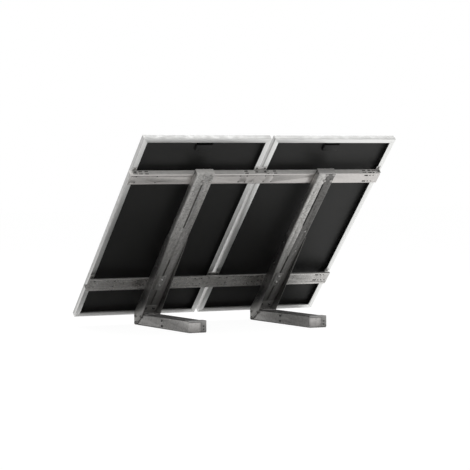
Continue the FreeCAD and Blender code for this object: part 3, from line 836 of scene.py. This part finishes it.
def from_tree(name, tree, values, mesh=None):
    """A piece whose mesh a Geometry Nodes tree makes from named values."""
    piece = new_object(name, mesh or bpy.data.meshes.new(name))
    modifier = piece.modifiers.new("nodes", "NODES")
    modifier.node_group = tree
    for item in tree.interface.items_tree:
        if item.name in values:
            modifier[item.identifier] = values[item.name]
    apply_modifiers(piece)
    return piece


print("repeat helpers: reach, lifted, copies, joined, from_tree")

# %% [markdown]
# The cells of a module are a regular grid, so one tree makes them all. Its inputs are the counts
# and sizes, and the two finishes. A cell is a square with clipped corners, filled and given a
# thickness. Thin tinned ribbons as long as the grid run up the slope across the cells, at an even
# pitch that divides the cell pitch.

# %% The cell grid tree
def make_cell_tree():
    tree, inside, outside = new_group(
        "GeometryNodeTree", "cell_grid",
        [
            ("Columns", "NodeSocketInt", 6), ("Rows", "NodeSocketInt", 11),
            ("Pitch", "NodeSocketFloat", 0.159), ("Cell side", "NodeSocketFloat", 0.1545),
            ("Clipped corner", "NodeSocketFloat", 0.010), ("Thickness", "NodeSocketFloat", 0.0002),
            ("Ribbons per cell", "NodeSocketInt", 4), ("Ribbon width", "NodeSocketFloat", 0.0014),
            ("Cell finish", "NodeSocketMaterial", None),
            ("Ribbon finish", "NodeSocketMaterial", None),
        ],
        [("Geometry", "NodeSocketGeometry")],
    )
    value = inside.outputs
    across = reach(tree, value["Columns"], value["Pitch"])
    upward = reach(tree, value["Rows"], value["Pitch"])
    square = add(
        tree, "GeometryNodeCurvePrimitiveQuadrilateral",
        {"Width": value["Cell side"], "Height": value["Cell side"]},
    )
    clipped = add(
        tree, "GeometryNodeFilletCurve",
        {"Curve": square.outputs[0], "Count": 1, "Radius": value["Clipped corner"]}, mode="POLY",
    )
    filled = add(tree, "GeometryNodeFillCurve", {"Curve": clipped.outputs[0]}, mode="NGONS")
    tile = add(
        tree, "GeometryNodeExtrudeMesh",
        {"Mesh": filled.outputs[0], "Offset Scale": value["Thickness"], "Individual": False},
    )
    grid = add(
        tree, "GeometryNodeMeshGrid",
        {
            "Size X": across, "Size Y": upward,
            "Vertices X": value["Columns"], "Vertices Y": value["Rows"],
        },
    )
    cells = copies(tree, grid.outputs[0], tile.outputs[0], value["Cell finish"])

    count = calculate(tree, "MULTIPLY", value["Columns"], value["Ribbons per cell"])
    step = calculate(tree, "DIVIDE", value["Pitch"], value["Ribbons per cell"])
    length = calculate(tree, "ADD", upward, value["Cell side"])
    sides = {0: value["Ribbon width"], 1: length, 2: value["Thickness"]}
    size = add(tree, "ShaderNodeCombineXYZ", sides)
    bar = add(tree, "GeometryNodeMeshCube", {"Size": size.outputs[0]})
    row = add(
        tree, "GeometryNodeMeshGrid",
        {"Size X": reach(tree, count, step), "Size Y": 0.0, "Vertices X": count, "Vertices Y": 1},
    )
    bar_on_cell = lifted(tree, bar.outputs[0], value["Thickness"])
    ribbons = copies(tree, row.outputs[0], bar_on_cell, value["Ribbon finish"])
    tree.links.new(joined(tree, ribbons, cells), outside.inputs["Geometry"])
    return tree


cell_tree = make_cell_tree()
print("cell grid nodes:", len(cell_tree.nodes))

# %% [markdown]
# A module is six cells wide and eleven high. The cells lie in a clear layer just behind the
# glass, and a dark sheet behind them closes the gaps. The backing takes the place of the CAD's
# cell sheet, less the clear layer in front of it and behind it.

# %% Cells for both modules
CELL_VALUES = {
    "Columns": 6, "Rows": 11, "Pitch": 0.159, "Cell side": 0.1545, "Clipped corner": 0.010,
    "Thickness": 0.0002, "Ribbons per cell": 4, "Ribbon width": 0.0014,
    "Cell finish": cell_silicon, "Ribbon finish": ribbon_tin,
}
ENCAPSULANT = 0.0006     # clear layer between the cells and the glass


def slope_matrix(x, along, back):
    """Takes local X, Y and Z to X, up the slope and out of the glass side, at a point."""
    axes = Matrix((SIDEWAYS, UP_SLOPE, -BACKWARDS)).transposed().to_4x4()
    return Matrix.Translation(on_slope(x, along, back)) @ axes


def sheet(name, x_range, along_range, back_range, finish):
    """A closed flat sheet on the slope that fills three ranges."""
    ranges = (x_range, along_range, back_range)
    middle = [(first + last) / 2 for first, last in ranges]
    size = [last - first for first, last in ranges]
    shell = bmesh.new()
    bmesh.ops.create_cube(shell, size=1.0)
    shell.transform(slope_matrix(*middle) @ Matrix.Diagonal((*size, 1)))
    mesh = bpy.data.meshes.new(name)
    shell.to_mesh(mesh)
    shell.free()
    mesh.materials.append(finish)
    return new_object(name, mesh)


for side in SIDES:
    name = side + "_module_cell_sheet"
    x_range, along_range, (front, back) = slope_range(node_points(name))
    cells = from_tree(side + "_cells", cell_tree, CELL_VALUES)
    cells.data.transform(
        slope_matrix(sum(x_range) / 2, sum(along_range) / 2, front + ENCAPSULANT)
    )
    backing = sheet(
        side + "_cell_backing", x_range, along_range, (front + 2 * ENCAPSULANT, back), cell_backing
    )
    for piece in (cells, backing):
        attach(piece, "root")
    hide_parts(name)
    print(cells.name, "faces:", len(cells.data.polygons))

# %% [markdown]
# Small fasteners repeat all over the rack, so a second tree makes any set of them. It takes a
# mesh whose loose points carry a vector attribute called out, the way that each head faces. On
# every point it stands a washer and a hexagon head with a turned top, spun by a seeded random
# angle, since no fitter lines the flats up. Heads of height zero leave plain washers.

# %% The fastener tree
WAIST_SHARE = 0.82       # of the head's height, below its turned top
CROWN_FOOT = 0.5         # radius of the turned top over the flats, at its foot and at its top
CROWN_TOP = 0.43
ROUND = 24


def make_fastener_tree():
    tree, inside, outside = new_group(
        "GeometryNodeTree", "hex_fasteners",
        [
            ("Points", "NodeSocketGeometry", None),
            ("Flats", "NodeSocketFloat", 0.013), ("Head height", "NodeSocketFloat", 0.0053),
            ("Washer radius", "NodeSocketFloat", 0.008),
            ("Washer thickness", "NodeSocketFloat", 0.0016),
            ("Seed", "NodeSocketInt", 1), ("Finish", "NodeSocketMaterial", None),
        ],
        [("Geometry", "NodeSocketGeometry")],
    )
    value = inside.outputs
    flats, thickness = value["Flats"], value["Washer thickness"]

    def prism(vertices, radius, foot, depth):
        """A cylinder is made round its middle, so it is lifted by half its depth as well."""
        inputs = {"Vertices": vertices, "Radius": radius, "Depth": depth}
        form = add(tree, "GeometryNodeMeshCylinder", inputs).outputs["Mesh"]
        return lifted(tree, form, calculate(tree, "MULTIPLY_ADD", depth, 0.5, foot))

    waist = calculate(tree, "MULTIPLY", value["Head height"], WAIST_SHARE)
    top = calculate(tree, "MULTIPLY", value["Head height"], 1 - WAIST_SHARE)
    washer = prism(ROUND, value["Washer radius"], 0.0, thickness)
    head = prism(6, calculate(tree, "DIVIDE", flats, math.sqrt(3)), thickness, waist)
    cone = add(
        tree, "GeometryNodeMeshCone",
        {
            "Vertices": ROUND, "Depth": top,
            "Radius Top": calculate(tree, "MULTIPLY", flats, CROWN_TOP),
            "Radius Bottom": calculate(tree, "MULTIPLY", flats, CROWN_FOOT),
        },
    )
    crown = lifted(tree, cone.outputs["Mesh"], calculate(tree, "ADD", thickness, waist))
    bolt = joined(tree, crown, head, washer)

    out = add(tree, "GeometryNodeInputNamedAttribute", {"Name": "out"}, data_type="FLOAT_VECTOR")
    facing = add(tree, "FunctionNodeAlignRotationToVector", {"Vector": out.outputs[0]}, axis="Z")
    angles = {2: 0.0, 3: math.tau, "Seed": value["Seed"]}
    spin = add(tree, "FunctionNodeRandomValue", angles, data_type="FLOAT").outputs[1]
    turn = add(tree, "FunctionNodeAxisAngleToRotation", {"Axis": (0, 0, 1), "Angle": spin})
    placed = add(
        tree, "FunctionNodeRotateRotation",
        {"Rotation": facing.outputs[0], "Rotate By": turn.outputs[0]}, rotation_space="LOCAL",
    )
    bolts = copies(tree, value["Points"], bolt, value["Finish"], Rotation=placed.outputs[0])
    tree.links.new(bolts, outside.inputs["Geometry"])
    return tree


fastener_tree = make_fastener_tree()
print("fastener nodes:", len(fastener_tree.nodes))

# %% [markdown]
# Places come from the CAD boxes, so a screw always sits on its sheet. A place is a point on the
# sheet's face and the way that the head looks. A gusset is screwed to the post's side in a row up
# the slope, and a cleat has two bolts in each leg.

# %% Places on gussets and cleats
SHEET = 0.004            # thickness of gussets, cleats and lower plates
GUSSET_ROW = (0.22, 0.42, 0.62, 0.84)
CLEAT_BOLT_SIDE = 0.032
CLEAT_BOLT_EDGE = 0.030
UPWARDS = Vector((0, 0, 1))
gusset_spots = []
cleat_spots = []
for side in SIDES:
    post_x, _, post_back = post_range[side]
    for end, way in zip(post_x, (-1, 1)):
        for along in GUSSET_ROW:
            place = on_slope(end + way * SHEET, along, sum(post_back) / 2)
            gusset_spots.append((place, SIDEWAYS * way))
    cleat_low, cleat_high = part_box(side + "_base_cleat")
    cleat_top = slope_range(node_points(side + "_base_cleat"))[1][1]
    for way in (-1, 1):
        x = post_middle[side] + way * CLEAT_BOLT_SIDE
        on_foot = Vector((x, cleat_high[1] - CLEAT_BOLT_EDGE, cleat_low[2] + SHEET))
        on_post = on_slope(x, cleat_top - CLEAT_BOLT_EDGE, post_back[1] + SHEET)
        cleat_spots += [(on_foot, UPWARDS), (on_post, BACKWARDS)]
print("places on gussets:", len(gusset_spots), "and on cleats:", len(cleat_spots))

# %% [markdown]
# A foot has two screws in each side, half way along it, where a ballast tray can be bolted on,
# and two in the leg of its strap. Their heights are shares of the foot's and the end plate's own.

# %% Places on the feet
FOOT_SCREW_ALONG = 0.52
FOOT_SCREW_HEIGHTS = (0.26, 0.72)
STRAP_SCREW_HEIGHTS = (0.28, 0.62)
STRAP_SCREW_EDGE = 0.022
ENDWAYS = Vector((0, 1, 0))


def part_way(first, last, share):
    return first + share * (last - first)


foot_spots = []
strap_spots = []
for side in SIDES:
    foot_low, foot_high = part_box(side + "_foot_channel_plus_x")
    far_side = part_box(side + "_foot_channel_minus_x")[0][0]
    screw_y = part_way(foot_low[1], foot_high[1], FOOT_SCREW_ALONG)
    for share in FOOT_SCREW_HEIGHTS:
        height = part_way(foot_low[2], foot_high[2], share)
        foot_spots.append((Vector((foot_high[0], screw_y, height)), SIDEWAYS))
        foot_spots.append((Vector((far_side, screw_y, height)), -SIDEWAYS))
    strap_low, strap_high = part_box(side + "_foot_strap")
    plate_low, plate_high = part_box(side + "_foot_end_plate")
    for share in STRAP_SCREW_HEIGHTS:
        height = part_way(plate_low[2], plate_high[2], share)
        place = Vector((strap_low[0] + STRAP_SCREW_EDGE, strap_high[1], height))
        strap_spots.append((place, ENDWAYS))
print("places on feet:", len(foot_spots), "and on straps:", len(strap_spots))

# %% [markdown]
# A clamp has one screw for each module member under it, so the wide ones between the modules
# have two. All clamps are loose parts of one CAD node. Walking along the edges from one vertex
# finds a whole part, and the width of the part says which clamp it is. The walk follows the
# order of the vertices, so the screws get the same seeded turns on every run.

# %% Places on the clamps
CLAMP_WALL = 0.003
CLAMP_SCREW_EDGE = 0.013
WIDE_CLAMP = 0.05
WIDE_CLAMP_INSET = 0.016


def loose_parts(name):
    """The points of each separate solid of a CAD node, in the order of its vertices."""
    shell = merged_shell(nodes[name].data)
    seen = set()
    parts = []
    for first in shell.verts:
        if first in seen:
            continue
        seen.add(first)
        front = [first]
        part = []
        while front:
            vertex = front.pop()
            part.append(vertex.co.copy())
            for edge in vertex.link_edges:
                other = edge.other_vert(vertex)
                if other not in seen:
                    seen.add(other)
                    front.append(other)
        parts.append(part)
    shell.free()
    return parts


clamp_spots = []
for points in loose_parts("module_clamps"):
    (clamp_left, clamp_right), (_, clamp_top), _ = slope_range(points)
    if clamp_right - clamp_left > WIDE_CLAMP:
        screw_xs = (clamp_left + WIDE_CLAMP_INSET, clamp_right - WIDE_CLAMP_INSET)
    else:
        screw_xs = ((clamp_left + clamp_right) / 2,)
    for x in screw_xs:
        clamp_spots.append((on_slope(x, clamp_top - CLAMP_SCREW_EDGE, CLAMP_WALL), BACKWARDS))
print("places on clamps:", len(clamp_spots))

# %% [markdown]
# The bolts that the CAD model holds get a washer each. Every bolt is a loose part too, and the
# middle of its far end, less the height of its head, is where the washer lies. Bolts of the
# gussets face outward, away from the middle of the nearest post.

# %% Places under the CAD's bolts
M10_HEAD = 0.0064
END_DEPTH = 1e-4         # points this near to the far end belong to it


def seat_of(points, way):
    far = max(point.dot(way) for point in points)
    end = [point for point in points if point.dot(way) > far - END_DEPTH]
    return sum(end, Vector()) / len(end) - way * M10_HEAD


washer_spots = []
for name in ("head_bolts", "lower_bolts"):
    washer_spots += [(seat_of(part, BACKWARDS), BACKWARDS) for part in loose_parts(name)]
for part in loose_parts("gusset_bolts"):
    middle_x = sum(point.x for point in part) / len(part)
    post = min(post_middle.values(), key=lambda x: abs(x - middle_x))
    way = SIDEWAYS * (1 if middle_x > post else -1)
    washer_spots.append((seat_of(part, way), way))
print("places under bolts:", len(washer_spots))

# %% [markdown]
# The sizes are those of standard hexagon screws: the width over the flats, the height of the
# head, and the washer that goes with them. Each set has its own seed, so that no two sets repeat
# each other's turns.

# %% All sets of fasteners
M6 = {"Flats": 0.010, "Head height": 0.004, "Washer radius": 0.0065, "Washer thickness": 0.0012}
M6_LOW = {"Flats": 0.010, "Head height": 0.003, "Washer radius": 0.0065, "Washer thickness": 0.001}
M8 = {"Flats": 0.013, "Head height": 0.0053, "Washer radius": 0.0085, "Washer thickness": 0.0016}
M10 = {"Flats": 0.017, "Head height": M10_HEAD, "Washer radius": 0.0105, "Washer thickness": 0.002}
WASHER = {"Flats": 0.010, "Head height": 0.0, "Washer radius": 0.0108, "Washer thickness": 0.002}
FASTENER_SETS = (
    ("gusset_screws", gusset_spots, M8, 2, fastener_dark),
    ("cleat_screws", cleat_spots, M10, 3, fastener_dark),
    ("clamp_screws", clamp_spots, M6, 4, fastener_dark),
    ("foot_screws", foot_spots, M8, 7, fastener_dark),
    ("strap_screws", strap_spots, M6_LOW, 5, fastener_dark),
    ("washers", washer_spots, WASHER, 6, fastener_zinc),
)
for name, spots, sizes, seed, finish in FASTENER_SETS:
    mesh = bpy.data.meshes.new(name + "_points")
    mesh.from_pydata([point for point, _ in spots], [], [])
    out = mesh.attributes.new("out", "FLOAT_VECTOR", "POINT")
    for item, (_, way) in zip(out.data, spots):
        item.vector = way
    piece = from_tree(name, fastener_tree, {**sizes, "Seed": seed, "Finish": finish}, mesh)
    smooth(piece)
    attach(piece, "root")
    print(name, "count:", len(spots), "faces:", len(piece.data.polygons))

# %% [markdown]
# The background is a plain white studio. The world lights the mount softly, but the camera and
# mirror-like surfaces see it as pure white. Light Path nodes tell such rays from the ones that
# only bring light. A brighter world alone would be white too, and would wash the metal out.

# %% The world
SKY_LIGHT = 0.42         # strength of the world as light
WHITE = (1, 1, 1, 1)


def white_world():
    world = bpy.data.worlds.new("studio")
    tree = empty_tree(world)
    light = add(tree, "ShaderNodeBackground", {"Color": WHITE, "Strength": SKY_LIGHT})
    seen = add(tree, "ShaderNodeBackground", {"Color": WHITE, "Strength": 1.0})
    path = add(tree, "ShaderNodeLightPath").outputs
    direct = calculate(tree, "MAXIMUM", path["Is Camera Ray"], path["Is Glossy Ray"])
    direct = calculate(tree, "MAXIMUM", direct, path["Is Transmission Ray"])
    mix = add(tree, "ShaderNodeMixShader", {0: direct, 1: light.outputs[0], 2: seen.outputs[0]})
    add(tree, "ShaderNodeOutputWorld", {"Surface": mix.outputs[0]})
    return world


scene.world = white_world()
print("world:", scene.world.name, "light:", SKY_LIGHT)

# %% [markdown]
# The floor is matt and pale, and takes the mount's shadow. Where the camera sees it, most of it
# glows white, so that it runs into the background without an edge, and a share of the shadow
# still shows. The glow is a little over white to make up for that share.

# %% The floor
FLOOR_SIZE = 80.0
FLOOR_PAINT = (0.9, 0.9, 0.89, 1)
CAMERA_SHARE = 0.9       # how much of the floor that the camera sees is plain white
GLOW = 1.066


def white_floor():
    material = bpy.data.materials.new("floor_white")
    tree = empty_tree(material)
    matt = add(tree, "ShaderNodeBsdfDiffuse", {"Color": FLOOR_PAINT})
    glow = add(tree, "ShaderNodeEmission", {"Color": WHITE, "Strength": GLOW})
    camera_ray = add(tree, "ShaderNodeLightPath").outputs["Is Camera Ray"]
    share = calculate(tree, "MULTIPLY", camera_ray, CAMERA_SHARE)
    mix = add(tree, "ShaderNodeMixShader", {0: share, 1: matt.outputs[0], 2: glow.outputs[0]})
    add(tree, "ShaderNodeOutputMaterial", {"Surface": mix.outputs[0]})
    mesh = bpy.data.meshes.new("floor")
    shell = bmesh.new()
    bmesh.ops.create_grid(shell, x_segments=1, y_segments=1, size=FLOOR_SIZE / 2)
    shell.to_mesh(mesh)
    shell.free()
    mesh.materials.append(material)
    return new_object("floor", mesh)


floor = white_floor()
print("floor:", FLOOR_SIZE, "m wide")

# %% [markdown]
# One large round lamp hangs overhead, a little to one side, as a softbox does. Its size makes
# the shadows soft and its place makes the tops of the metal brighter than the sides. It points
# at the mount: a lamp shines along its own -Z, so its Z is turned away from there.

# %% The lamp and the colours
LAMP_SIZE = 8.0
LAMP_PLACE = Vector((-1.8, -0.3, 7.6))
LAMP_POWER = 475.0
lamp = bpy.data.lights.new("soft_top", "AREA")
lamp.shape = "DISK"
lamp.size = LAMP_SIZE
lamp.energy = LAMP_POWER
lamp_object = new_object("soft_top", lamp)
lamp_object.location = LAMP_PLACE
lamp_object.rotation_euler = LAMP_PLACE.to_track_quat("Z", "Y").to_euler()
scene.view_settings.view_transform = "Standard"
print("lamp:", LAMP_POWER, "W at", tuple(LAMP_PLACE))

# %% [markdown]
# The camera stands about fifteen metres behind the mount, low down and to its left, with a
# long lens, so that the rack shows its posts, rails and feet with little perspective. Its axes
# are built from two angles and a slight roll, and written into its matrix as columns.

# %% Camera
AZIMUTH = math.radians(153.54)
ELEVATION = math.radians(1.85)
ROLL = math.radians(-0.28)
CAMERA_PLACE = Vector((6.7468, 13.6200, 1.1707))
LENS = 157.43            # millimetres
SENSOR_WIDTH = 36.0
backward = Vector((
    math.sin(AZIMUTH) * math.cos(ELEVATION),
    -math.cos(AZIMUTH) * math.cos(ELEVATION),
    math.sin(ELEVATION),
))
right = UPWARDS.cross(backward).normalized()
up = backward.cross(right)
rolled_right = right * math.cos(ROLL) + up * math.sin(ROLL)
rolled_up = up * math.cos(ROLL) - right * math.sin(ROLL)
camera_data = bpy.data.cameras.new("camera")
camera_data.lens = LENS
camera_data.sensor_width = SENSOR_WIDTH
camera = new_object("camera", camera_data)
axes = Matrix((rolled_right, rolled_up, backward)).transposed()
camera.matrix_world = Matrix.Translation(CAMERA_PLACE) @ axes.to_4x4()
scene.camera = camera
print("camera at", tuple(CAMERA_PLACE), "lens:", LENS)
